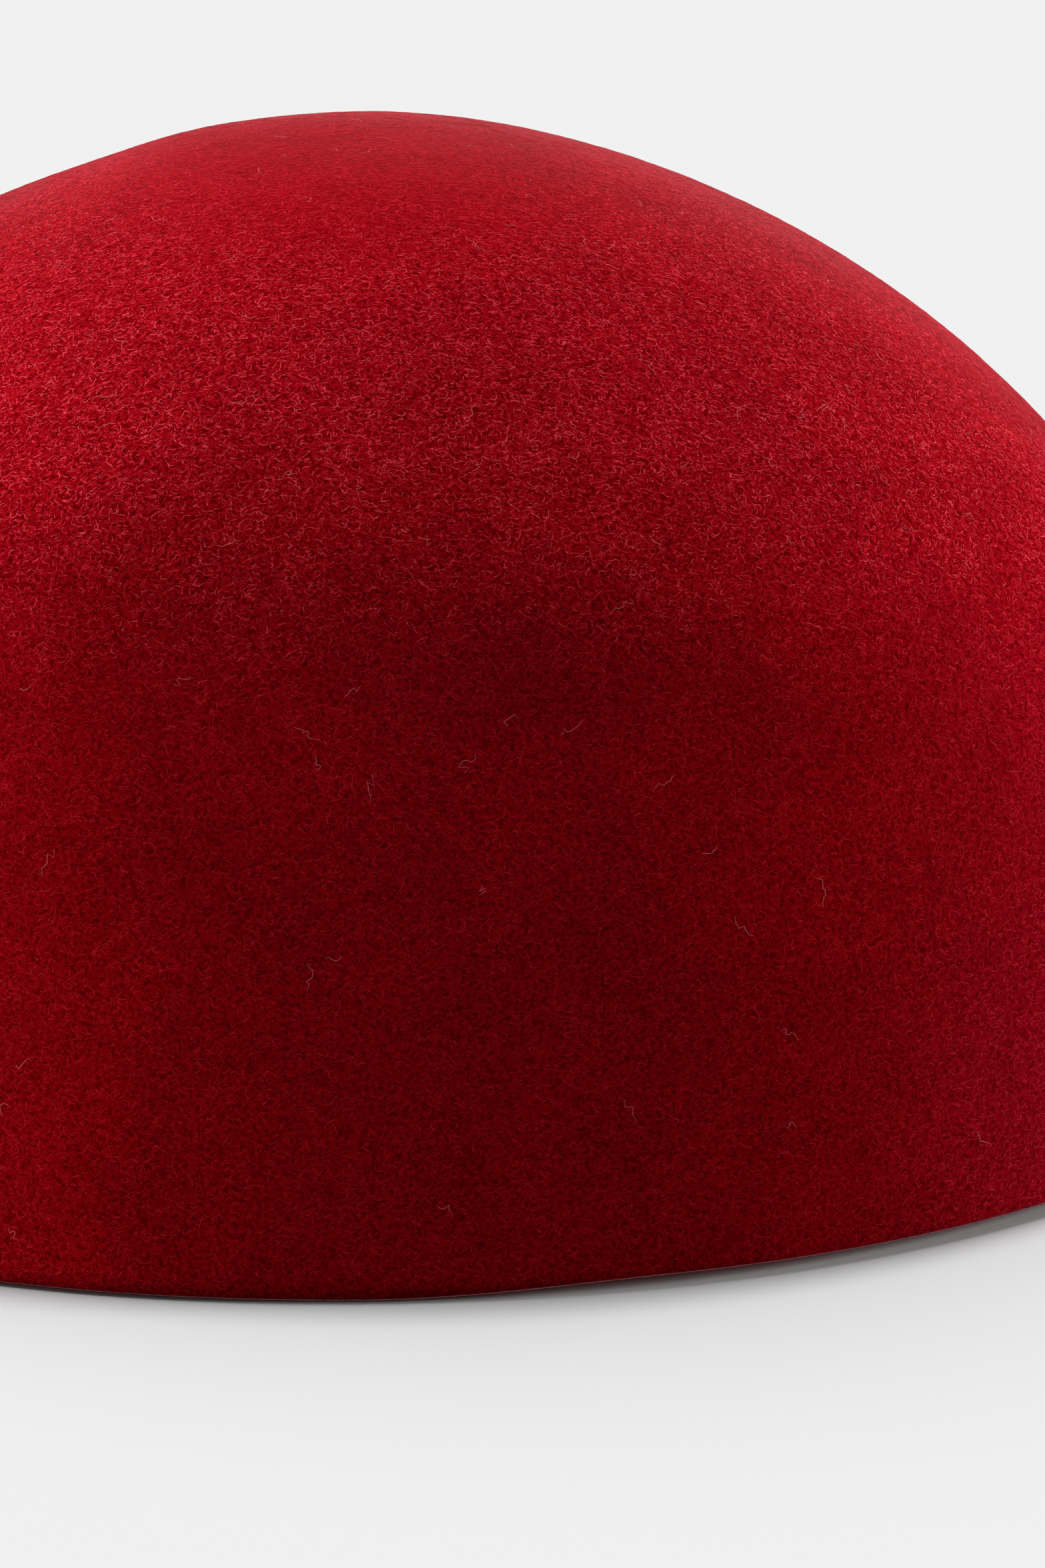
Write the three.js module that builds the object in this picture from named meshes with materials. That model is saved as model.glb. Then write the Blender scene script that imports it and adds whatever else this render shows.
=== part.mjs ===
// A felt beanie: one brimless, unlined cap of wool felt, blocked to a dome and resting on its cut rim.
// Millimetres, +Z up. The origin is the middle of the rim's underside, and +X points to the front of the head.
import * as THREE from "three";
import { ParametricGeometry } from "three/addons/geometries/ParametricGeometry.js";

// Driving dimensions
const RIM_LENGTH = 204; // outside the felt, front to back
const RIM_WIDTH = 174; // outside the felt, side to side
const CROWN_HEIGHT = 100;
const FELT = 2.2; // thickness of the wall
const OUTER_CORNER = 1.4; // radius that softens the cut rim's outer corner
const INNER_CORNER = 0.3; // radius that softens its inner corner

// Fullness of the dome's outline: 2 is an ellipse, and more squares the shoulder.
const LENGTHWISE_FULLNESS = 2.0;
const CROSSWISE_FULLNESS = 2.6;

// Facets round the cap, and from the rim to the crown on each face of the felt
const AROUND = 72;
const OUTER_ROWS = 36;
const INNER_ROWS = 32;

// Soft dents and swells that hand blocking leaves. Bearing runs round the cap from the front towards +Y,
// and rise climbs from 0 at the rim to 90 at the crown. The reaches are where a dent has faded to a third,
// along its length and across it, lean turns its length from level, and push moves the felt outwards.
const DENTS = [
  { name: "flat behind the crown", bearing: 132, rise: 68, along: 20, across: 16, lean: 40, push: -1.1 },
  { name: "ridge beside the flat", bearing: 126, rise: 74, along: 16, across: 5, lean: 48, push: 0.4 },
  { name: "near shoulder", bearing: 248, rise: 49, along: 40, across: 8, lean: 5, push: 1.2 },
  { name: "front shoulder", bearing: 311, rise: 47, along: 30, across: 6, lean: 0, push: 0.6 },
  { name: "tuck under the shoulders", bearing: 278, rise: 35, along: 40, across: 7, lean: -9, push: -1.1 },
  { name: "crease down from the tuck", bearing: 259, rise: 37, along: 8, across: 16, lean: 9, push: -0.9 },
  { name: "swell of the near wall", bearing: 277, rise: 20, along: 30, across: 5, lean: -12, push: 0.6 },
  { name: "slack above the rim", bearing: 252, rise: 12, along: 40, across: 6, lean: 3, push: -0.9 },
  { name: "pinch at the rim", bearing: 243, rise: 9, along: 8, across: 12, lean: 4, push: -0.6 },
];

// The cut rim lifts off the table over one stretch of bearings, and the lift fades out up the wall.
const RIM_LIFT = { starts: 267, full: 288, fades: 325, ends: 352, height: 1.05, wall: 18 };

const QUARTER = Math.PI / 2;
const radians = THREE.MathUtils.degToRad;

// Half of an oval's size at a climb angle, for an outline of the given fullness.
function halfSize(full, fullness, climb) {
  return (full / 2) * Math.max(0, 1 - Math.sin(climb) ** fullness) ** (1 / fullness);
}

// A point of the smooth outer face: bearing round the cap, climb from 0 at the rim to a quarter turn.
function domePoint(bearing, climb) {
  return new THREE.Vector3(
    halfSize(RIM_LENGTH, LENGTHWISE_FULLNESS, climb) * Math.cos(bearing),
    halfSize(RIM_WIDTH, CROSSWISE_FULLNESS, climb) * Math.sin(bearing),
    CROWN_HEIGHT * Math.sin(climb),
  );
}

// The outward direction there, from two short steps along the face.
function domeNormal(bearing, climb) {
  const step = 1e-3;
  if (climb > QUARTER - step) return new THREE.Vector3(0, 0, 1);
  const round = domePoint(bearing + step, climb).sub(domePoint(bearing - step, climb));
  const lower = Math.max(climb - step, 0);
  const up = domePoint(bearing, climb + step).sub(domePoint(bearing, lower));
  return round.cross(up).normalize();
}

// The direction on a unit dome that a bearing and a rise name.
function towards(bearing, rise) {
  return new THREE.Vector3(
    Math.cos(rise) * Math.cos(bearing),
    Math.cos(rise) * Math.sin(bearing),
    Math.sin(rise),
  );
}

// How far one dent pushes the felt outwards at a direction on the unit dome.
function dentPush(dent, direction) {
  const centre = towards(radians(dent.bearing), radians(dent.rise));
  if (direction.dot(centre) <= 0) return 0;
  const level = new THREE.Vector3(-centre.y, centre.x, 0).normalize();
  const uphill = centre.clone().cross(level);
  const east = direction.dot(level);
  const north = direction.dot(uphill);
  const lean = radians(dent.lean);
  const along = (east * Math.cos(lean) + north * Math.sin(lean)) / Math.sin(radians(dent.along));
  const across = (north * Math.cos(lean) - east * Math.sin(lean)) / Math.sin(radians(dent.across));
  return dent.push * Math.exp(-along * along - across * across);
}

// How far the rim's stretch lifts a point at this bearing and height.
function rimLift(bearing, height) {
  const degrees = THREE.MathUtils.radToDeg(bearing);
  const rising = THREE.MathUtils.smoothstep(degrees, RIM_LIFT.starts, RIM_LIFT.full);
  const falling = 1 - THREE.MathUtils.smoothstep(degrees, RIM_LIFT.fades, RIM_LIFT.ends);
  const share = Math.max(0, 1 - height / RIM_LIFT.wall);
  return RIM_LIFT.height * rising * falling * share * share;
}

// A point in the felt: depth is measured in from the outer face, along its normal.
function feltPoint(bearing, climb, depth) {
  const point = domePoint(bearing, climb);
  const direction = towards(bearing, climb);
  const push = DENTS.reduce((sum, dent) => sum + dentPush(dent, direction), 0);
  point.addScaledVector(domeNormal(bearing, climb), push - depth);
  point.z += rimLift(bearing, point.z);
  return point;
}

// The climb at which the smooth outer face reaches a height.
const climbAt = (height) => Math.asin(height / CROWN_HEIGHT);

// A point round a softened corner of the cut rim: 0 degrees is on the felt's face and 90 on its underside.
function cornerPoint(radius, degrees) {
  const turn = radians(degrees);
  return { climb: climbAt(radius * (1 - Math.sin(turn))), depth: radius * (1 - Math.cos(turn)) };
}

// The felt's section from the crown's outside, down to the cut rim and back up to the crown's inside.
function feltSection() {
  const section = [];
  const outerFoot = climbAt(OUTER_CORNER);
  const innerFoot = climbAt(INNER_CORNER);
  for (let row = OUTER_ROWS; row > 0; row--)
    section.push({ climb: outerFoot + ((QUARTER - outerFoot) * row) / OUTER_ROWS, depth: 0 });
  for (const turn of [0, 30, 60, 90]) section.push(cornerPoint(OUTER_CORNER, turn));
  for (const turn of [90, 45, 0]) {
    const { climb, depth } = cornerPoint(INNER_CORNER, turn);
    section.push({ climb, depth: FELT - depth });
  }
  for (let row = 1; row <= INNER_ROWS; row++)
    section.push({ climb: innerFoot + ((QUARTER - innerFoot) * row) / INNER_ROWS, depth: FELT });
  return section;
}

// The whole cap as one closed surface, swept round by bearing.
function feltShell() {
  const section = feltSection();
  const last = section.length - 1;
  const surface = (round, along, target) => {
    const row = section[Math.round(along * last)];
    target.copy(feltPoint(2 * Math.PI * (1 - (round % 1)), row.climb, row.depth));
  };
  return new ParametricGeometry(surface, AROUND, last);
}

const redFelt = new THREE.MeshStandardMaterial({ color: 0xa8121f, roughness: 0.95, metalness: 0 });

const beanie = new THREE.Group();
const crown = new THREE.Mesh(feltShell(), redFelt);
crown.name = "felt_crown";
beanie.add(crown);

export default beanie;
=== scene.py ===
"""A felt beanie: one brimless cap of blocked red wool felt with its nap, on a pale floor in soft light."""
import logging
import math
from dataclasses import dataclass
from enum import Enum
from typing import Any, Optional, Union

import bpy
from mathutils import Matrix, Vector


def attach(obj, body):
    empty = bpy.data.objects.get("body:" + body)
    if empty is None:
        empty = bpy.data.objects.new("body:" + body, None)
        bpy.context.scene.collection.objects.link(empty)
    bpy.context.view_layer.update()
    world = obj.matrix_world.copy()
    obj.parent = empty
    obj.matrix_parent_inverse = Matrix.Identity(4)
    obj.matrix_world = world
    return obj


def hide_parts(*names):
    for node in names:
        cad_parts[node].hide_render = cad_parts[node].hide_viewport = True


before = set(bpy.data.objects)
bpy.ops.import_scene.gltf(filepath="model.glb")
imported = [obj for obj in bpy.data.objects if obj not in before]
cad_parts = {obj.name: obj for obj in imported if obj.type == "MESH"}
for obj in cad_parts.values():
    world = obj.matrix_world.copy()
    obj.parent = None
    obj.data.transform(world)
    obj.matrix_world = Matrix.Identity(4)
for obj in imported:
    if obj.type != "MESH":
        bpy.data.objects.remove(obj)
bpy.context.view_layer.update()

LOG = logging.getLogger("felt_beanie")
MM = 0.001
CROWN_NODE = "felt_crown"
ONLY_BODY = "root"

# How far a cloudy noise usually goes to either side of its middle
NOISE_SWING = 0.25

Colour = tuple[float, float, float]
Span = tuple[float, float]
Socket = bpy.types.NodeSocket
Wire = Union[Socket, float, int, str, tuple, bpy.types.Material]
Key = Union[str, int]
Feeds = dict[Key, Wire]


class Reach(Enum):
    """What a light falls on, by the collection that holds it."""

    FELT = "felt_pieces"
    FLOOR = "floor_pieces"

    def collection(self) -> bpy.types.Collection:
        """Finds the collection, or makes it.

        Returns:
            The collection, linked to the scene.
        """
        found = bpy.data.collections.get(self.value)
        if found is None:
            found = bpy.data.collections.new(self.value)
            bpy.context.scene.collection.children.link(found)
        return found


class NodeGraph:
    """Writes nodes into one tree and wires them."""

    def __init__(self, tree: bpy.types.NodeTree) -> None:
        """Starts on a tree, whose own nodes stay."""
        self.tree = tree

    def add(self, kind: str, feeds: Optional[Feeds] = None, **settings: Any) -> bpy.types.Node:
        """Adds a node.

        Args:
            kind: Blender's name for the node type.
            feeds: What goes into its inputs, by the input's name or number.
            settings: The node's own options, set before its inputs.

        Returns:
            The new node.
        """
        node = self.tree.nodes.new(kind)
        for name, setting in settings.items():
            setattr(node, name, setting)
        for key, wire in (feeds or {}).items():
            self.feed(self.inlet(node, key), wire)
        return node

    def inlet(self, node: bpy.types.Node, key: Key) -> Socket:
        """Finds an input that the node's options leave in use.

        Args:
            node: The node to look on.
            key: The input's name, or its number.

        Returns:
            The input socket.
        """
        if isinstance(key, int):
            return node.inputs[key]
        return next(socket for socket in node.inputs if socket.name == key and not socket.is_unavailable)

    def outlet(self, node: bpy.types.Node, name: Optional[str] = None) -> Socket:
        """Finds an output that the node's options leave in use.

        Args:
            node: The node to look on.
            name: The output's name, or None for the first.

        Returns:
            The output socket.
        """
        live = (socket for socket in node.outputs if not socket.is_unavailable)
        return next(socket for socket in live if name in (None, socket.name))

    def feed(self, inlet: Socket, wire: Wire) -> None:
        """Links an output to an input, or sets the input to a plain value.

        Args:
            inlet: The input to feed.
            wire: The output that feeds it, or the value.
        """
        if isinstance(wire, Socket):
            self.tree.links.new(wire, inlet)
        else:
            inlet.default_value = wire

    def get(self, kind: str, feeds: Optional[Feeds] = None, output: Optional[str] = None,
            **settings: Any) -> Socket:
        """Adds a node and gives one of its outputs.

        Args:
            kind: Blender's name for the node type.
            feeds: What goes into its inputs.
            output: The output's name, or None for the first.
            settings: The node's own options.

        Returns:
            The output socket.
        """
        return self.outlet(self.add(kind, feeds, **settings), output)

    def math(self, operation: str, *wires: Wire) -> Socket:
        """Adds a sum on numbers.

        Args:
            operation: The sum's name.
            wires: Its terms.

        Returns:
            The result.
        """
        return self.get("ShaderNodeMath", dict(enumerate(wires)), operation=operation)

    def vector(self, operation: str, *wires: Wire) -> Socket:
        """Adds a sum on vectors.

        Args:
            operation: The sum's name.
            wires: Its terms, where SCALE takes a vector and a number.

        Returns:
            The result, a number for DOT_PRODUCT and a vector otherwise.
        """
        keys = (0, "Scale") if operation == "SCALE" else range(len(wires))
        result = "Value" if operation == "DOT_PRODUCT" else "Vector"
        return self.get("ShaderNodeVectorMath", dict(zip(keys, wires)), result, operation=operation)

    def split(self, vector: Wire) -> tuple[Socket, ...]:
        """Takes a vector apart.

        Args:
            vector: The vector.

        Returns:
            Its X, Y and Z.
        """
        return tuple(self.add("ShaderNodeSeparateXYZ", {"Vector": vector}).outputs)

    def spread(self, value: Wire, span: Span, onto: Span, interpolation: str = "SMOOTHSTEP") -> Socket:
        """Carries a number from one span onto another, held at the ends.

        Args:
            value: The number.
            span: Where it runs from and to.
            onto: What those two ends become.
            interpolation: How the way between them bends.

        Returns:
            The carried number.
        """
        feeds = dict(enumerate((value, *span, *onto)))
        return self.get("ShaderNodeMapRange", feeds, interpolation_type=interpolation)

    def noise(self, place: Wire, grain: Wire, output: str = "Fac", **feeds: Wire) -> Socket:
        """Adds a cloudy noise.

        Args:
            place: Where it is read.
            grain: How many grains it has to a metre.
            output: "Fac" for a number or "Color" for three of them.
            feeds: The noise's other inputs, by name.

        Returns:
            The noise.
        """
        wires: Feeds = {"Vector": place, "Scale": grain}
        wires.update({name.title(): wire for name, wire in feeds.items()})
        settings = {"noise_dimensions": "4D"} if "W" in wires else {}
        return self.get("ShaderNodeTexNoise", wires, output, **settings)


def matte(name: str, roughness: float) -> tuple[bpy.types.Material, bpy.types.Node]:
    """Starts a material that has no gloss.

    Args:
        name: The material's name.
        roughness: How rough it is, from 0 to 1.

    Returns:
        The material and its shader.
    """
    material = bpy.data.materials.new(name)
    material.use_nodes = True
    shader = material.node_tree.nodes["Principled BSDF"]
    shader.inputs["Roughness"].default_value = roughness
    shader.inputs["Specular IOR Level"].default_value = 0.0
    return material, shader


def heading(azimuth: float, elevation: float) -> Vector:
    """Gives the direction from the cap to what stands round it.

    Args:
        azimuth: Degrees round from the near side towards +X.
        elevation: Degrees up from the floor.

    Returns:
        The direction, with a length of 1.
    """
    turn = math.radians(azimuth)
    climb = math.radians(elevation)
    flat = math.cos(climb)
    return Vector((flat * math.sin(turn), -flat * math.cos(turn), math.sin(climb)))


class ShapeGraph(NodeGraph):
    """A tree of geometry nodes with named inputs, whose result is one plain mesh."""

    def __init__(self, name: str) -> None:
        """Starts an empty tree.

        Args:
            name: The tree's name.
        """
        super().__init__(bpy.data.node_groups.new(name, "GeometryNodeTree"))
        self.tree.interface.new_socket("Geometry", in_out="OUTPUT", socket_type="NodeSocketGeometry")
        self.entry = self.tree.nodes.new("NodeGroupInput")

    def ask(self, name: str, kind: str = "Float") -> Socket:
        """Adds a named input to the tree.

        Args:
            name: The input's name.
            kind: What it holds, such as Float, Int or Material.

        Returns:
            Where the tree reads it.
        """
        self.tree.interface.new_socket(name, in_out="INPUT", socket_type=f"NodeSocket{kind}")
        return self.entry.outputs[name]

    def put(self, shape: Wire, position: Wire) -> Socket:
        """Puts every point of a shape in a new place.

        Args:
            shape: The shape.
            position: Where each point goes.

        Returns:
            The changed shape.
        """
        return self.get("GeometryNodeSetPosition", {"Geometry": shape, "Position": position})

    def move(self, shape: Wire, offset: Wire) -> Socket:
        """Moves every point of a shape.

        Args:
            shape: The shape.
            offset: How far each point goes.

        Returns:
            The moved shape.
        """
        return self.get("GeometryNodeSetPosition", {"Geometry": shape, "Offset": offset})

    def note(self, shape: Wire, name: str, value: Wire, kind: str = "FLOAT") -> Socket:
        """Keeps a value on the points of a shape.

        Args:
            shape: The shape.
            name: The name that the value is kept under.
            value: The value.
            kind: FLOAT or FLOAT_VECTOR.

        Returns:
            The shape with its values.
        """
        feeds = {"Geometry": shape, "Name": name, "Value": value}
        return self.get("GeometryNodeStoreNamedAttribute", feeds, data_type=kind, domain="POINT")

    def noted(self, name: str, kind: str = "FLOAT") -> Socket:
        """Reads a value that note() kept.

        Args:
            name: The name that it is kept under.
            kind: FLOAT or FLOAT_VECTOR.

        Returns:
            The value.
        """
        return self.get("GeometryNodeInputNamedAttribute", {"Name": name}, "Attribute", data_type=kind)

    def close(self, shape: Wire, material: Wire, smooth: bool = True) -> None:
        """Ends the tree: shaded, realized and dressed.

        Args:
            shape: The finished shape.
            material: The material that it wears.
            smooth: Whether its faces are shaded as one surface.
        """
        shaded = self.get("GeometryNodeSetShadeSmooth", {"Geometry": shape, "Shade Smooth": smooth})
        real = self.get("GeometryNodeRealizeInstances", {"Geometry": shaded})
        dressed = self.get("GeometryNodeSetMaterial", {"Geometry": real, "Material": material})
        self.add("NodeGroupOutput", {"Geometry": dressed})

    def make(self, name: str, sizes: dict[str, Any],
             start: Optional[bpy.types.Mesh] = None) -> bpy.types.Object:
        """Runs the tree and keeps its result as a plain mesh.

        Args:
            name: The new object's name.
            sizes: A value for each of the tree's named inputs.
            start: The mesh that the tree starts from, if it takes one.

        Returns:
            The object, with no modifier left on it.
        """
        piece = bpy.data.objects.new(name, start.copy() if start else bpy.data.meshes.new(name))
        Reach.FELT.collection().objects.link(piece)
        modifier = piece.modifiers.new("shape", "NODES")
        modifier.node_group = self.tree
        for item in self.tree.interface.items_tree:
            if item.in_out == "INPUT" and item.name in sizes:
                modifier[item.identifier] = sizes[item.name]
        graph = bpy.context.evaluated_depsgraph_get()
        mesh = bpy.data.meshes.new_from_object(piece.evaluated_get(graph), depsgraph=graph)
        piece.modifiers.clear()
        piece.data = mesh
        mesh.name = name
        return piece


@dataclass(frozen=True)
class Dent:
    """A soft dent or swell that hand blocking leaves in the felt.

    Bearing runs round the cap from the front towards +Y and rise climbs from the rim to the crown. The
    reaches, along its length and across it, are where it has faded to a third, and lean turns its length
    from level. All are in degrees. Push moves the felt outwards, in metres.
    """

    name: str
    bearing: float
    rise: float
    along: float
    across: float
    lean: float
    push: float

    def axes(self) -> tuple[Vector, Vector, Vector]:
        """Gives the dent's place and reaches.

        Returns:
            The direction of its middle, and the two directions across it divided by their reaches.
        """
        bearing = math.radians(self.bearing)
        rise = math.radians(self.rise)
        lean = math.radians(self.lean)
        flat = math.cos(rise)
        middle = Vector((flat * math.cos(bearing), flat * math.sin(bearing), math.sin(rise)))
        level = Vector((-middle.y, middle.x, 0)).normalized()
        uphill = middle.cross(level)
        along = (level * math.cos(lean) + uphill * math.sin(lean)) / math.sin(math.radians(self.along))
        across = (uphill * math.cos(lean) - level * math.sin(lean)) / math.sin(math.radians(self.across))
        return middle, along, across


@dataclass(frozen=True)
class RimLift:
    """The stretch of the cut rim that stands off the table: bearings in degrees, sizes in metres."""

    starts: float = 267
    full: float = 288
    fades: float = 325
    ends: float = 352
    height: float = 1.05 * MM
    wall: float = 18 * MM


@dataclass(frozen=True)
class Sheen:
    """The soft light that the fine ends of wool catch."""

    weight: float
    roughness: float = 0.22
    tint: Colour = (1.0, 0.50, 0.56)

    def dress(self, shader: bpy.types.Node) -> None:
        """Sets the sheen on a shader.

        Args:
            shader: The shader.
        """
        shader.inputs["Sheen Weight"].default_value = self.weight
        shader.inputs["Sheen Roughness"].default_value = self.roughness
        shader.inputs["Sheen Tint"].default_value = (*self.tint, 1.0)


@dataclass(frozen=True)
class StrandLayer:
    """One layer of strands in the felt, with sizes in metres.

    The tones and the bends each run from one end of the draw to the other, and a bend is a share of the
    spacing.
    """

    spacing: float
    width: float
    tones: Span
    bends: Span


@dataclass(frozen=True)
class FeltFinish:
    """Brushed wool felt: short curled strands laid over each other and over dark pits, with a soft mottle.

    The shades run from the pits to the brightest strands, each with its place on a scale of tones from 0
    to 1. A level is how far the felt faces up, from 0 on an upright wall to 1 at the top. The top light is
    painted light from above: the strands are painted brighter and more contrasted where the felt faces up,
    and weaker on the wall. The calm is how far the strands keep their contrast. Brushing is how much more
    the strands lie along the cap than across it. A strand is whole within its core, a share of its width,
    and fades towards its ends, at shares of the spacing. The end sheen is painted sheen on the low wall's
    two ends, and the rim's painted shade darkens the felt towards the bottom. Sizes are in metres.
    """

    shades: tuple[tuple[float, Colour], ...] = (
        (0.0, (0.14, 0.0002, 0.0012)),
        (0.4, (0.42, 0.0018, 0.0080)),
        (0.8, (0.75, 0.0230, 0.0430)),
        (1.0, (0.98, 0.1000, 0.1350)),
    )
    roughness: float = 0.95
    sheen: Sheen = Sheen(weight=0.17)
    clump_size: float = 0.5 * MM
    clump_span: Span = (0.36, 0.62)
    ground_tones: Span = (0.0, 0.36)
    dull_layers: tuple[StrandLayer, ...] = (
        StrandLayer(0.75 * MM, 0.075 * MM, tones=(0.08, 0.62), bends=(0.3, 1.5)),
        StrandLayer(0.65 * MM, 0.070 * MM, tones=(0.08, 0.62), bends=(0.3, 1.5)),
    )
    dull_span: Span = (0.36, 0.58)
    dull_least: float = 0.1
    fine_layers: tuple[StrandLayer, ...] = (
        StrandLayer(0.72 * MM, 0.046 * MM, tones=(0.31, 1.20), bends=(0.4, 2.0)),
        StrandLayer(0.62 * MM, 0.046 * MM, tones=(0.31, 1.20), bends=(0.4, 2.0)),
        StrandLayer(0.85 * MM, 0.044 * MM, tones=(0.31, 1.25), bends=(0.4, 2.2)),
        StrandLayer(0.67 * MM, 0.044 * MM, tones=(0.31, 1.30), bends=(0.3, 2.0)),
    )
    fine_span: Span = (0.32, 0.54)
    fine_least: float = 0.3
    dimming: float = 1.15
    strand_core: float = 0.35
    strand_ends: Span = (0.5, 0.8)
    layer_shift: tuple[float, float, float] = (0.31, 0.17, 0.23)
    brushing: float = 1.7
    sway: float = 0.6 * MM
    sway_size: float = 1.4 * MM
    kink: float = 0.19 * MM
    kink_size: float = 0.34 * MM
    mottle_size: float = 11 * MM
    mottle_span: Span = (0.3, 0.7)
    mottle_shades: Span = (0.88, 1.09)
    patches: float = 0.12
    # Painted light from above: strands brighter and more contrasted where the felt faces up.
    top_light_level: Span = (0.36, 0.76)
    top_light_drift: float = 0.35
    shaded_wall_tone: float = 0.71
    shaded_wall_calm: float = 0.86
    calm_starts: float = 0.93
    calm: float = 0.58
    calm_tone: float = 0.31
    # Painted sheen: the low wall's two ends pinker and paler, as grazing light makes them.
    end_sheen_climb: Span = (15 * MM, 80 * MM)
    end_sheen_middle: float = 4 * MM
    end_sheen_span: Span = (36 * MM, 70 * MM)
    end_sheen_shares: Span = (0.8, 1.7)
    relief: float = 0.06 * MM
    # Painted shade: the felt darker towards the bottom of the rim, where the floor shades it.
    rim_painted_shade: float = 0.45
    rim_painted_shade_height: float = 2.6 * MM

    def material(self) -> bpy.types.Material:
        """Builds the felt's material on Object coordinates and the felt's kept outward direction.

        Returns:
            The material.
        """
        material, shader = matte("brushed_red_felt", self.roughness)
        graph = NodeGraph(material.node_tree)
        place = graph.get("ShaderNodeTexCoord", output="Object")
        clump = graph.noise(place, 1 / self.clump_size, detail=2.0, roughness=0.6)
        mottle = graph.noise(place, 1 / self.mottle_size, detail=4.0, roughness=0.55)
        dyed = self.dye(graph, self.tone(graph, place, clump, mottle))
        shade = graph.spread(mottle, self.mottle_span, self.mottle_shades, "LINEAR")
        colour = graph.vector("SCALE", self.paint_sheen_and_shade(graph, place, dyed), shade)
        bump = graph.get("ShaderNodeBump", {"Strength": 1.0, "Distance": self.relief, "Height": clump})
        graph.feed(shader.inputs["Base Color"], colour)
        graph.feed(shader.inputs["Normal"], bump)
        self.sheen.dress(shader)
        return material

    def tone(self, graph: NodeGraph, place: Socket, clump: Socket, mottle: Socket) -> Socket:
        """Lays the strands over the felt's ground, with painted light from above that leaves them weaker on
        the wall, and calmer at the very top.

        Args:
            graph: The material's tree.
            place: Where the surface is.
            clump: The noise that gathers the felt into clumps and pits.
            mottle: The noise that clouds it.

        Returns:
            The tone, from 0 in a pit to 1 on the brightest strand.
        """
        waves = graph.noise(place, 1 / self.sway_size, "Color", detail=0.0)
        kinks = graph.noise(place, 1 / self.kink_size, "Color", detail=1.0)
        swayed = graph.vector("MULTIPLY_ADD", waves, (self.sway, self.sway, self.sway), place)
        swayed = graph.vector("MULTIPLY_ADD", kinks, (self.kink, self.kink, self.kink), swayed)
        wear = graph.split(kinks)[1]
        dull_shown = graph.spread(clump, self.dull_span, (self.dull_least, 1.0))
        fine_shown = graph.spread(wear, self.fine_span, (self.fine_least, 1.0))
        outward = graph.get("ShaderNodeAttribute", output="Vector", attribute_name="outward")
        level = graph.split(outward)[2]
        # Painted light from above: the strands grow brighter and more contrasted as the felt faces up.
        drift = graph.math("MULTIPLY", graph.math("SUBTRACT", mottle, 0.5), self.top_light_drift)
        painted_top_light = graph.spread(graph.math("ADD", level, drift), self.top_light_level, (0.0, 1.0))
        lit_strand_share = graph.spread(painted_top_light, (0.0, 1.0), (self.shaded_wall_tone, 1.0), "LINEAR")
        tone = graph.spread(clump, self.clump_span, self.ground_tones)
        layers = [(layer, dull_shown) for layer in self.dull_layers]
        layers += [(layer, fine_shown) for layer in self.fine_layers]
        for number, (layer, shown) in enumerate(layers):
            line, chance = self.strands(graph, swayed, number, layer)
            draw = graph.math("POWER", chance, self.dimming)
            bright = graph.spread(draw, (0.0, 1.0), layer.tones, "LINEAR")
            change = graph.math("SUBTRACT", graph.math("MULTIPLY", bright, lit_strand_share), tone)
            tone = graph.math("MULTIPLY_ADD", graph.math("MULTIPLY", line, shown), change, tone)
        patch = graph.split(waves)[0]
        tone = graph.math("MULTIPLY_ADD", graph.math("SUBTRACT", patch, 0.5), self.patches, tone)
        calm = graph.spread(level, (self.calm_starts, 1.0), (1.0, self.calm), "LINEAR")
        calm = graph.math("MULTIPLY", calm, graph.spread(painted_top_light, (0.0, 1.0), (self.shaded_wall_calm, 1.0), "LINEAR"))
        return graph.math("MULTIPLY_ADD", graph.math("SUBTRACT", tone, self.calm_tone), calm, self.calm_tone)

    def paint_sheen_and_shade(self, graph: NodeGraph, place: Socket, dyed: Wire) -> Socket:
        """Paints sheen on the low wall's two ends, turning them more crimson, and paints shade on the felt,
        darker towards the bottom of the rim.

        Args:
            graph: The material's tree.
            place: Where the surface is.
            dyed: The felt's colour.

        Returns:
            The changed colour.
        """
        along, _, climb = graph.split(place)
        # Painted sheen: green and blue raised towards the low wall's two ends.
        aside = graph.math("ABSOLUTE", graph.math("SUBTRACT", along, self.end_sheen_middle))
        ends = graph.spread(aside, self.end_sheen_span, self.end_sheen_shares)
        plain = graph.spread(climb, self.end_sheen_climb, (0.0, 1.0))
        painted_end_sheen = graph.math("MULTIPLY_ADD", plain, graph.math("SUBTRACT", 1.0, ends), ends)
        cast = graph.get("ShaderNodeCombineXYZ", {"X": 1.0, "Y": painted_end_sheen, "Z": painted_end_sheen})
        # Painted shade: darker towards the bottom of the rim, where the floor shades it.
        painted_rim_shade = graph.spread(climb, (0.0, self.rim_painted_shade_height), (self.rim_painted_shade, 1.0))
        return graph.vector("SCALE", graph.vector("MULTIPLY", dyed, cast), painted_rim_shade)

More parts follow.
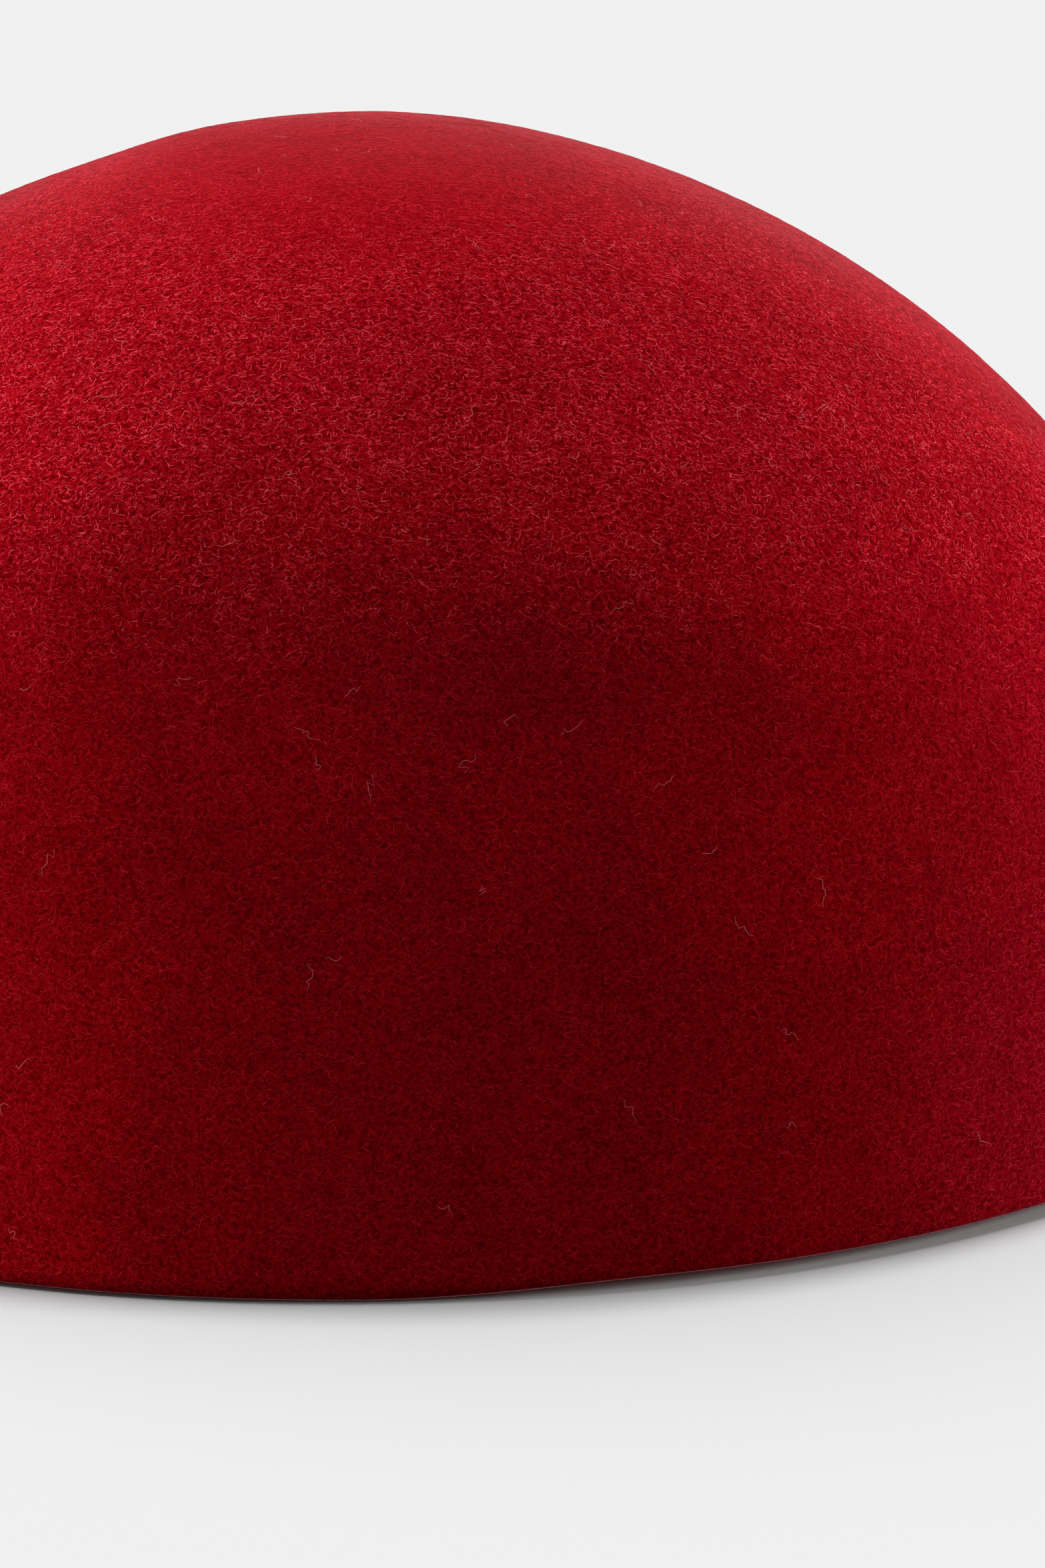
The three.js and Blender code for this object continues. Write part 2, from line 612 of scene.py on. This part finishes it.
    def strands(self, graph: NodeGraph, place: Socket, number: int,
                layer: StrandLayer) -> tuple[Socket, Socket]:
        """Draws one layer of strands: an arc in each cell, turned and bent by chance.

        Args:
            graph: The material's tree.
            place: Where the surface is.
            number: The layer's number, so that no two are alike.
            layer: The layer's sizes.

        Returns:
            1 on a strand and 0 off it, and the strand's chance number.
        """
        shift = tuple(step * number for step in self.layer_shift)
        shifted = graph.vector("ADD", place, shift)
        cell = graph.add("ShaderNodeTexVoronoi", {"Vector": shifted, "Scale": 1 / layer.spacing})
        middle = cell.outputs["Position"]
        outward = graph.get("ShaderNodeAttribute", output="Vector", attribute_name="outward")
        turn = graph.vector("SUBTRACT", cell.outputs["Color"], (0.5, 0.5, 0.5))
        turn = graph.vector("MULTIPLY", turn, (1.0, self.brushing, self.brushing))
        along = graph.vector("NORMALIZE", graph.vector("CROSS_PRODUCT", outward, turn))
        across = graph.vector("CROSS_PRODUCT", outward, along)
        away = graph.vector("SUBTRACT", shifted, middle)
        draws = graph.get("ShaderNodeTexWhiteNoise", {"Vector": middle}, "Color")
        bend_draw, tone_draw, _ = graph.split(draws)
        bends = (layer.bends[0] * layer.spacing, layer.bends[1] * layer.spacing)
        bend = graph.spread(bend_draw, (0.0, 1.0), bends, "LINEAR")
        east = graph.vector("DOT_PRODUCT", away, along)
        north = graph.math("SUBTRACT", graph.vector("DOT_PRODUCT", away, across), bend)
        square = graph.math("MULTIPLY_ADD", east, east, graph.math("MULTIPLY", north, north))
        off_line = graph.math("ABSOLUTE", graph.math("SUBTRACT", graph.math("SQRT", square), bend))
        line = graph.spread(off_line, (self.strand_core * layer.width, layer.width), (1.0, 0.0))
        end = graph.spread(cell.outputs["Distance"], self.strand_ends, (1.0, 0.0))
        return graph.math("MULTIPLY", line, end), tone_draw

    def dye(self, graph: NodeGraph, tone: Wire) -> Socket:
        """Turns a tone into the felt's colour.

        Args:
            graph: The material's tree.
            tone: From 0 in a pit to 1 on the brightest strand.

        Returns:
            The colour.
        """
        ramp = graph.add("ShaderNodeValToRGB", {"Fac": tone})
        stops = ramp.color_ramp.elements
        for number, (position, colour) in enumerate(self.shades):
            stop = stops[number] if number < len(stops) else stops.new(position)
            stop.position = position
            stop.color = (*colour, 1.0)
        return ramp.outputs["Color"]


class Shade(Enum):
    """The dye shades that the wool's loose fibres take, as linear colours."""

    MID = (0.50, 0.0040, 0.0090)
    BRIGHT = (0.66, 0.0140, 0.0220)
    PALE = (0.84, 0.1500, 0.1600)


@dataclass(frozen=True)
class FibreFinish:
    """One dye shade of wool fibre. A fibre is one shade along its length, so its colour is plain."""

    shade: Shade
    roughness: float = 0.8
    sheen: Sheen = Sheen(weight=0.25)

    def material(self) -> bpy.types.Material:
        """Builds the fibre's material.

        Returns:
            The material.
        """
        material, shader = matte(f"wool_fibre_{self.shade.name.lower()}", self.roughness)
        shader.inputs["Base Color"].default_value = (*self.shade.value, 1.0)
        self.sheen.dress(shader)
        return material


@dataclass
class FeltCrown:
    """The whole cap: crown, side wall and cut rim in one blocked felt. Sizes are in metres."""

    finish: FeltFinish
    rim_length: float = 204 * MM
    rim_width: float = 174 * MM
    height: float = 100 * MM
    felt: float = 2.2 * MM
    outer_corner: float = 1.4 * MM
    inner_corner: float = 0.3 * MM
    lengthwise_fullness: float = 2.0
    crosswise_fullness: float = 2.6
    relief: float = 0.035 * MM
    relief_size: float = 5.5 * MM
    facets: int = 124
    weld: float = 0.01 * MM
    lift: RimLift = RimLift()
    dents: tuple[Dent, ...] = (
        Dent("flat behind the crown", bearing=132, rise=68, along=20, across=16, lean=40, push=-1.1 * MM),
        Dent("ridge beside the flat", bearing=126, rise=74, along=16, across=5, lean=48, push=0.4 * MM),
        Dent("near shoulder", bearing=248, rise=49, along=40, across=8, lean=5, push=1.2 * MM),
        Dent("front shoulder", bearing=311, rise=47, along=30, across=6, lean=0, push=0.6 * MM),
        Dent("tuck under the shoulders", bearing=278, rise=35, along=40, across=7, lean=-9, push=-1.1 * MM),
        Dent("crease down from the tuck", bearing=259, rise=37, along=8, across=16, lean=9, push=-0.9 * MM),
        Dent("swell of the near wall", bearing=277, rise=20, along=30, across=5, lean=-12, push=0.6 * MM),
        Dent("slack above the rim", bearing=252, rise=12, along=40, across=6, lean=3, push=-0.9 * MM),
        Dent("pinch at the rim", bearing=243, rise=9, along=8, across=12, lean=4, push=-0.6 * MM),
    )

    def build(self) -> bpy.types.Object:
        """Blocks the felt and puts it in the place of its CAD node.

        Returns:
            The cap's mesh object.
        """
        graph = ShapeGraph("blocked_felt_crown")
        corner = graph.ask("Outer corner")
        dome = self.dome(graph, corner)
        outer = self.dented(graph, dome)
        shell = self.walled(graph, outer, corner)
        lifted = self.lifted(graph, shell, graph.ask("Rim lift"))
        graph.close(lifted, graph.ask("Material", "Material"))
        sizes = {
            "Felt": self.felt,
            "Outer corner": self.outer_corner,
            "Inner corner": self.inner_corner,
            "Rim length": self.rim_length,
            "Rim width": self.rim_width,
            "Crown height": self.height,
            "Lengthwise fullness": self.lengthwise_fullness,
            "Crosswise fullness": self.crosswise_fullness,
            "Facets": self.facets,
            "Relief": self.relief,
            "Rim lift": self.lift.height,
            "Material": self.finish.material(),
        }
        piece = graph.make("blocked_felt", sizes)
        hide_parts(CROWN_NODE)
        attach(piece, ONLY_BODY)
        return piece

    def dome(self, graph: ShapeGraph, corner: Socket) -> Socket:
        """Shapes the smooth outer face from an evenly faceted half ball.

        Args:
            graph: The cap's tree.
            corner: The height at which the outer face starts.

        Returns:
            The open dome, with its directions and its outward normals kept on its points.
        """
        rows = graph.math("ADD", graph.ask("Facets", "Int"), 1)
        block = graph.get("GeometryNodeMeshCube", {"Size": (2.0, 2.0, 2.0), 1: rows, 2: rows, 3: rows})
        place = graph.get("GeometryNodeInputPosition")
        turned = graph.vector("TANGENT", graph.vector("SCALE", place, math.pi / 4))
        ball = graph.put(block, graph.vector("NORMALIZE", turned))
        height = graph.split(place)[2]
        below = graph.get("FunctionNodeCompare", {"A": height, "B": -1e-4}, operation="LESS_THAN")
        half = graph.get("GeometryNodeDeleteGeometry", {"Geometry": ball, "Selection": below}, domain="POINT")
        half = graph.note(half, "unit_direction", place, "FLOAT_VECTOR")
        full_height = graph.ask("Crown height")
        foot = graph.math("DIVIDE", corner, full_height)
        climb = graph.math("MULTIPLY_ADD", height, graph.math("SUBTRACT", 1.0, foot), foot)
        level = graph.vector("NORMALIZE", graph.vector("MULTIPLY", place, (1.0, 1.0, 0.0)))
        east, north, _ = graph.split(level)
        length = self.half_size(graph, climb, graph.ask("Rim length"), graph.ask("Lengthwise fullness"))
        width = self.half_size(graph, climb, graph.ask("Rim width"), graph.ask("Crosswise fullness"))
        oval = {
            "X": graph.math("MULTIPLY", length, east),
            "Y": graph.math("MULTIPLY", width, north),
            "Z": graph.math("MULTIPLY", full_height, climb),
        }
        blocked = graph.put(half, graph.get("ShaderNodeCombineXYZ", oval))
        return graph.note(blocked, "outward", graph.get("GeometryNodeInputNormal"), "FLOAT_VECTOR")

    def half_size(self, graph: ShapeGraph, climb: Wire, full: Wire, fullness: Wire) -> Socket:
        """Works out half of an oval's size as the dome climbs.

        Args:
            graph: The cap's tree.
            climb: The share of the height, from 0 at the rim to 1 at the crown.
            full: The oval's size at the rim.
            fullness: 2 for an ellipse, and more for a squarer shoulder.

        Returns:
            The half size.
        """
        left = graph.math("MAXIMUM", 0.0, graph.math("SUBTRACT", 1.0, graph.math("POWER", climb, fullness)))
        share = graph.math("POWER", left, graph.math("DIVIDE", 1.0, fullness))
        return graph.math("MULTIPLY", graph.math("MULTIPLY", full, 0.5), share)

    def dented(self, graph: ShapeGraph, dome: Socket) -> Socket:
        """Pushes the dents, swells and the felt's uneven thickness into the dome.

        Args:
            graph: The cap's tree.
            dome: The smooth dome.

        Returns:
            The dented dome.
        """
        direction = graph.noted("unit_direction", "FLOAT_VECTOR")
        uneven = graph.noise(graph.get("GeometryNodeInputPosition"), 1 / self.relief_size, detail=1.5)
        swing = graph.math("DIVIDE", graph.ask("Relief"), NOISE_SWING)
        push = graph.math("MULTIPLY", graph.math("SUBTRACT", uneven, 0.5), swing)
        for dent in self.dents:
            middle, along, across = dent.axes()
            facing = graph.math("GREATER_THAN", graph.vector("DOT_PRODUCT", direction, tuple(middle)), 0.0)
            east = graph.vector("DOT_PRODUCT", direction, tuple(along))
            north = graph.vector("DOT_PRODUCT", direction, tuple(across))
            reach = graph.math("MULTIPLY_ADD", east, east, graph.math("MULTIPLY", north, north))
            fade = graph.math("EXPONENT", graph.math("MULTIPLY", reach, -1.0))
            push = graph.math("MULTIPLY_ADD", graph.math("MULTIPLY", fade, facing), dent.push, push)
        return graph.move(dome, graph.vector("SCALE", graph.noted("outward", "FLOAT_VECTOR"), push))

    def walled(self, graph: ShapeGraph, outer: Socket, corner: Socket) -> Socket:
        """Gives the dome its thickness and the cut rim between its two faces.

        Args:
            graph: The cap's tree.
            outer: The dented dome.
            corner: The radius that softens the rim's outer corner.

        Returns:
            The closed wall, whose points hold 1 under the name inside on the inner face and 0 elsewhere.
        """
        felt = graph.ask("Felt")
        inner_corner = graph.ask("Inner corner")
        outward = graph.noted("outward", "FLOAT_VECTOR")
        outer = graph.note(outer, "inside", 0.0)
        thickness = graph.vector("SCALE", outward, graph.math("MULTIPLY", felt, -1.0))
        inner = graph.get("GeometryNodeFlipFaces", {"Mesh": graph.move(outer, thickness)})
        inner = graph.note(inner, "inside", 1.0)
        underside = graph.math("SUBTRACT", graph.math("SUBTRACT", felt, corner), inner_corner)
        steps = [
            *self.rounded(graph, corner, (0, 23, 45, 68, 90)),
            (0.0, underside),
            *self.rounded(graph, inner_corner, (90, 45, 0)),
            (graph.math("SUBTRACT", corner, inner_corner), 0.0),
        ]
        edge = graph.get("GeometryNodeInputMeshEdgeNeighbors")
        edge = graph.get("FunctionNodeCompare", {"A": edge, "B": 1}, data_type="INT", operation="EQUAL")
        for climb, depth in steps:
            inwards = graph.vector("SCALE", outward, graph.math("MULTIPLY", depth, -1.0))
            upwards = graph.get("ShaderNodeCombineXYZ", {"Z": climb})
            feeds = {"Mesh": outer, "Selection": edge, "Offset": graph.vector("ADD", inwards, upwards)}
            row = graph.add("GeometryNodeExtrudeMesh", feeds, mode="EDGES")
            outer = row.outputs["Mesh"]
            edge = row.outputs["Top"]
        both = graph.add("GeometryNodeJoinGeometry")
        graph.feed(both.inputs[0], inner)
        graph.feed(both.inputs[0], outer)
        return graph.get("GeometryNodeMergeByDistance", {"Geometry": both.outputs[0], "Distance": self.weld})

    def rounded(self, graph: ShapeGraph, radius: Wire, turns: tuple[float, ...]) -> list[tuple[Wire, Wire]]:
        """Steps round a softened corner of the cut rim.

        Args:
            graph: The cap's tree.
            radius: The corner's radius.
            turns: Degrees round the corner, where 0 is on the felt's face and 90 on its underside.

        Returns:
            How far each step climbs and how deep it goes into the felt.
        """
        angles = [math.radians(turn) for turn in turns]
        steps: list[tuple[Wire, Wire]] = []
        for start, end in zip(angles, angles[1:]):
            climb = graph.math("MULTIPLY", radius, math.sin(start) - math.sin(end))
            depth = graph.math("MULTIPLY", radius, abs(math.cos(start) - math.cos(end)))
            steps.append((climb, depth))
        return steps

    def lifted(self, graph: ShapeGraph, shell: Socket, height: Socket) -> Socket:
        """Lifts one stretch of the rim off the table, fading up the wall.

        Args:
            graph: The cap's tree.
            shell: The closed wall.
            height: How far the rim lifts.

        Returns:
            The lifted wall.
        """
        x, y, z = graph.split(graph.get("GeometryNodeInputPosition"))
        turn = graph.math("ARCTAN2", y, x)
        bearing = graph.math("FLOORED_MODULO", graph.math("DEGREES", turn), 360.0)
        rising = graph.spread(bearing, (self.lift.starts, self.lift.full), (0.0, 1.0))
        falling = graph.spread(bearing, (self.lift.fades, self.lift.ends), (1.0, 0.0))
        fade = graph.spread(z, (0.0, self.lift.wall), (1.0, 0.0), "LINEAR")
        stretch = graph.math("MULTIPLY", rising, falling)
        share = graph.math("MULTIPLY", stretch, graph.math("MULTIPLY", fade, fade))
        offset = graph.get("ShaderNodeCombineXYZ", {"Z": graph.math("MULTIPLY", share, height)})
        return graph.move(shell, offset)


@dataclass
class Nap:
    """Loose wool fibres of one shade, lying in curls on the felt. Sizes are in metres.

    The shares say how the fibres' number goes by face, outer then inner, and by height on the cap, and how
    their length varies. The hump is how far a fibre's middle rises, as a share of its rise, and the tip is
    a share of its thickness.
    """

    finish: FibreFinish
    fibres: int
    seed: int
    length: float = 1.4 * MM
    thickness: float = 0.09 * MM
    curl: float = 0.6 * MM
    curl_size: float = 0.5 * MM
    rise: float = 0.02 * MM
    flatness: float = 0.25
    hump: float = 0.9
    tip: float = 0.4
    bare_rim: float = 3.6 * MM
    face_shares: Span = (1.9, 0.1)
    crown_climb: Span = (30 * MM, 75 * MM)
    crown_shares: Span = (0.6, 1.4)
    length_shares: Span = (0.5, 1.4)
    curl_draws: float = 50.0
    points: int = 5
    sides: int = 3

    def build(self, crown: bpy.types.Object) -> bpy.types.Object:
        """Scatters the fibres over the felt.

        Args:
            crown: The cap that they lie on.

        Returns:
            The fibres as one mesh object.
        """
        graph = ShapeGraph(f"wool_nap_{self.finish.shade.name.lower()}")
        felt = graph.ask("Felt", "Geometry")
        roots = self.roots(graph, felt)
        strands = self.strands(graph, roots)
        graph.close(strands, graph.ask("Material", "Material"), smooth=False)
        area = sum(face.area for face in crown.data.polygons)
        sizes = {
            "Density": self.fibres / area,
            "Seed": self.seed,
            "Length": self.length,
            "Thickness": self.thickness,
            "Curl": self.curl,
            "Rise": self.rise,
            "Flatness": self.flatness,
            "Points": self.points,
            "Material": self.finish.material(),
        }
        piece = graph.make(f"nap_{self.finish.shade.name.lower()}", sizes, crown.data)
        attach(piece, ONLY_BODY)
        return piece

    def roots(self, graph: ShapeGraph, felt: Socket) -> Socket:
        """Picks where fibres lie and turns a straight strand to each place.

        Args:
            graph: The nap's tree.
            felt: The cap's mesh.

        Returns:
            Straight strands on the felt, which keep its outward direction and a chance number.
        """
        seed = graph.ask("Seed", "Int")
        inside = graph.noted("inside")
        climb = graph.split(graph.get("GeometryNodeInputPosition"))[2]
        shown = graph.get("FunctionNodeCompare", {"A": climb, "B": self.bare_rim}, operation="GREATER_THAN")
        crowned = graph.spread(climb, self.crown_climb, self.crown_shares)
        faced = graph.spread(inside, (0.0, 1.0), self.face_shares, "LINEAR")
        density = graph.math("MULTIPLY", graph.math("MULTIPLY", graph.ask("Density"), faced), crowned)
        feeds = {"Mesh": felt, "Selection": shown, "Density": density, "Seed": seed}
        scatter = graph.add("GeometryNodeDistributePointsOnFaces", feeds, distribute_method="RANDOM")
        points = graph.note(scatter.outputs["Points"], "up", scatter.outputs["Normal"], "FLOAT_VECTOR")
        points = graph.note(points, "chance", self.chance(graph, seed, 1, (0.0, self.curl_draws)))
        axis = {"Axis": (0.0, 0.0, 1.0), "Angle": self.chance(graph, seed, 2, (0.0, math.tau))}
        yaw = graph.get("FunctionNodeAxisAngleToRotation", axis)
        turned = {"Rotation": scatter.outputs["Rotation"], "Rotate By": yaw}
        turned = graph.get("FunctionNodeRotateRotation", turned, rotation_space="LOCAL")
        reach = graph.math("MULTIPLY", graph.ask("Length"), 0.5)
        start = graph.get("ShaderNodeCombineXYZ", {"X": graph.math("MULTIPLY", reach, -1.0)})
        end = graph.get("ShaderNodeCombineXYZ", {"X": reach})
        line = graph.get("GeometryNodeCurvePrimitiveLine", {"Start": start, "End": end})
        line = graph.get("GeometryNodeResampleCurve", {"Curve": line, "Count": graph.ask("Points", "Int")})
        scale = self.chance(graph, seed, 3, self.length_shares)
        spread = {"Points": points, "Instance": line, "Rotation": turned, "Scale": scale}
        placed = graph.get("GeometryNodeInstanceOnPoints", spread)
        return graph.get("GeometryNodeRealizeInstances", {"Geometry": placed})

    def strands(self, graph: ShapeGraph, roots: Socket) -> Socket:
        """Curls the strands, lifts their middles and gives them their thickness.

        Args:
            graph: The nap's tree.
            roots: Straight strands on the felt.

        Returns:
            The fibres' surface.
        """
        place = graph.get("GeometryNodeInputPosition")
        up = graph.noted("up", "FLOAT_VECTOR")
        along = graph.get("GeometryNodeSplineParameter", output="Factor")
        arch = graph.math("SINE", graph.math("MULTIPLY", along, math.pi))
        waves = graph.noise(place, 1 / self.curl_size, "Color", w=graph.noted("chance"), detail=0.5)
        sway = graph.vector("SCALE", graph.vector("SUBTRACT", waves, (0.5, 0.5, 0.5)), 2.0)
        height = graph.vector("DOT_PRODUCT", sway, up)
        level = graph.vector("SUBTRACT", sway, graph.vector("SCALE", up, height))
        rise = graph.ask("Rise")
        lift = graph.math("MULTIPLY", rise, graph.math("MULTIPLY_ADD", arch, self.hump, height))
        sideways = graph.vector("SCALE", level, graph.ask("Curl"))
        curled = graph.move(roots, graph.vector("ADD", sideways, graph.vector("SCALE", up, lift)))
        x, y, z = graph.split(place)
        radius = graph.math("MULTIPLY", graph.ask("Thickness"), 0.5)
        floor = {"X": x, "Y": y, "Z": graph.math("MAXIMUM", z, radius)}
        rested = graph.put(curled, graph.get("ShaderNodeCombineXYZ", floor))
        taper = graph.math("MULTIPLY", radius, graph.math("MULTIPLY_ADD", arch, 1.0 - self.tip, self.tip))
        section = graph.get("GeometryNodeCurvePrimitiveCircle", {"Resolution": self.sides, "Radius": 1.0})
        spined = graph.note(rested, "spine", place, "FLOAT_VECTOR")
        feeds = {"Curve": spined, "Profile Curve": section, "Scale": taper, "Fill Caps": True}
        round_fibres = graph.get("GeometryNodeCurveToMesh", feeds)
        away = graph.vector("SUBTRACT", place, graph.noted("spine", "FLOAT_VECTOR"))
        proud = graph.vector("DOT_PRODUCT", away, up)
        pressed = graph.math("MULTIPLY", proud, graph.math("SUBTRACT", graph.ask("Flatness"), 1.0))
        return graph.move(round_fibres, graph.vector("SCALE", up, pressed))

    def chance(self, graph: ShapeGraph, seed: Wire, draw: int, span: Span) -> Socket:
        """Draws a seeded number for each fibre.

        Args:
            graph: The nap's tree.
            seed: The nap's seed.
            draw: Which draw this is, so that no two are alike.
            span: The least and the most that it gives.

        Returns:
            The number.
        """
        feeds = {"Min": span[0], "Max": span[1], "Seed": graph.math("ADD", seed, draw)}
        return graph.get("FunctionNodeRandomValue", feeds, data_type="FLOAT")


@dataclass(frozen=True)
class SoftLight:
    """A far, wide studio light: where it stands, in degrees, and how strong and wide it is."""

    name: str
    azimuth: float
    elevation: float
    strength: float
    width: float
    reach: Reach

    def build(self) -> None:
        """Hangs the light, pointing at the cap."""
        lamp = bpy.data.lights.new(self.name, "SUN")
        lamp.energy = self.strength
        lamp.angle = math.radians(self.width)
        light = bpy.data.objects.new(self.name, lamp)
        light.light_linking.receiver_collection = self.reach.collection()
        light.light_linking.blocker_collection = Reach.FELT.collection()
        light.rotation_euler = heading(self.azimuth, self.elevation).to_track_quat("Z", "Y").to_euler()
        bpy.context.scene.collection.objects.link(light)


@dataclass(frozen=True)
class PhotoCamera:
    """The camera at the photograph's place, in metres, degrees and the photograph's pixels."""

    azimuth: float = -3.0
    elevation: float = 15.55
    distance: float = 0.85
    aim: tuple[float, float, float] = (0.0, 0.0, 0.045)
    aim_pixel: tuple[float, float] = (539.0, 956.0)
    frame_pixels: tuple[int, int] = (1568, 2352)
    pixels_per_mm: float = 13.755
    sensor: float = 36.0
    farthest: float = 50.0

    def build(self) -> None:
        """Sets up the camera with its axis turned so that the aim falls on its pixel."""
        azimuth = math.radians(self.azimuth)
        back = heading(self.azimuth, self.elevation)
        right = Vector((math.cos(azimuth), math.sin(azimuth), 0))
        up = back.cross(right)
        focal_pixels = self.pixels_per_mm * self.distance / MM
        sideways = self.frame_pixels[0] / 2 - self.aim_pixel[0]
        downwards = self.frame_pixels[1] / 2 - self.aim_pixel[1]
        axis = (back - right * (sideways / focal_pixels) + up * (downwards / focal_pixels)).normalized()
        level = (right - axis * right.dot(axis)).normalized()
        lens = bpy.data.cameras.new("photo_camera")
        lens.sensor_width = self.sensor
        lens.lens = self.sensor * focal_pixels / max(self.frame_pixels)
        lens.clip_end = self.farthest
        camera = bpy.data.objects.new("photo_camera", lens)
        turn = Matrix((level, axis.cross(level), axis)).transposed().to_4x4()
        camera.matrix_world = Matrix.Translation(Vector(self.aim) + back * self.distance) @ turn
        bpy.context.scene.collection.objects.link(camera)
        bpy.context.scene.camera = camera


@dataclass(frozen=True)
class Studio:
    """A pale floor, a pale surround and soft lights.

    The camera sees the floor's shade and the surround, and the felt gets the bounce shade and the ambient.
    """

    floor_half: float = 12.0
    floor_shade: float = 0.25
    bounce_shade: float = 0.05
    surround: float = 0.871
    ambient: float = 0.30
    lights: tuple[SoftLight, ...] = (
        SoftLight("overhead_softbox", azimuth=174, elevation=69, strength=1.32, width=9, reach=Reach.FELT),
        SoftLight("back_softbox", azimuth=-142, elevation=34, strength=1.5, width=34, reach=Reach.FELT),
        SoftLight("left_softbox", azimuth=-101, elevation=2, strength=2.1, width=36, reach=Reach.FELT),
        SoftLight("right_softbox", azimuth=112, elevation=-6, strength=4.1, width=38, reach=Reach.FELT),
        SoftLight("left_bounce", azimuth=-98, elevation=-15, strength=1.9, width=26, reach=Reach.FELT),
        SoftLight("floor_top", azimuth=-168, elevation=83, strength=5.9, width=17, reach=Reach.FLOOR),
        SoftLight("floor_back", azimuth=-150, elevation=64, strength=2.75, width=50, reach=Reach.FLOOR),
        SoftLight("floor_right", azimuth=84, elevation=18, strength=5.6, width=24, reach=Reach.FLOOR),
    )

    def build(self) -> None:
        """Lays the floor and hangs the lights."""
        scene = bpy.context.scene
        scene.view_settings.view_transform = "Standard"
        self.floor()
        self.surroundings(scene)
        for light in self.lights:
            light.build()

    def floor(self) -> None:
        """Lays the floor under the rim. It takes shadows and throws little light back on the felt."""
        half = self.floor_half
        mesh = bpy.data.meshes.new("pale_floor")
        corners = [(-half, -half, 0.0), (half, -half, 0.0), (half, half, 0.0), (-half, half, 0.0)]
        mesh.from_pydata(corners, [], [(0, 1, 2, 3)])
        material, shader = matte("pale_paper", 1.0)
        graph = NodeGraph(material.node_tree)
        seen = graph.get("ShaderNodeLightPath", output="Is Camera Ray")
        shade = graph.spread(seen, (0.0, 1.0), (self.bounce_shade, self.floor_shade), "LINEAR")
        graph.feed(shader.inputs["Base Color"], shade)
        mesh.materials.append(material)
        floor = bpy.data.objects.new("pale_floor", mesh)
        Reach.FLOOR.collection().objects.link(floor)

    def surroundings(self, scene: bpy.types.Scene) -> None:
        """Sets what the camera sees past the floor, and the dim light from all round.

        Args:
            scene: The scene to set.
        """
        world = bpy.data.worlds.new("soft_surround")
        world.use_nodes = True
        scene.world = world
        graph = NodeGraph(world.node_tree)
        world.node_tree.nodes.clear()
        seen = graph.get("ShaderNodeLightPath", output="Is Camera Ray")
        strength = graph.spread(seen, (0.0, 1.0), (self.ambient, self.surround), "LINEAR")
        light = graph.get("ShaderNodeBackground", {"Color": (1.0, 1.0, 1.0, 1.0), "Strength": strength})
        graph.add("ShaderNodeOutputWorld", {"Surface": light})


def main() -> None:
    """Builds the camera, the cap, its nap and the studio, and logs each piece's triangles."""
    logging.basicConfig(level=logging.INFO, format="%(name)s: %(message)s")
    PhotoCamera().build()
    crown = FeltCrown(FeltFinish()).build()
    pieces = [crown]
    naps = (
        Nap(FibreFinish(Shade.MID), fibres=6800, seed=23),
        Nap(FibreFinish(Shade.BRIGHT), fibres=6800, seed=37),
        Nap(
            FibreFinish(Shade.PALE),
            fibres=300,
            seed=53,
            length=2.2 * MM,
            curl=1.2 * MM,
            rise=0.05 * MM,
            points=9,
        ),
    )
    for nap in naps:
        pieces.append(nap.build(crown))
    for piece in pieces:
        triangles = sum(len(face.vertices) - 2 for face in piece.data.polygons)
        LOG.info("%s: %d triangles", piece.name, triangles)
    Studio().build()


if __name__ == "__main__":
    main()
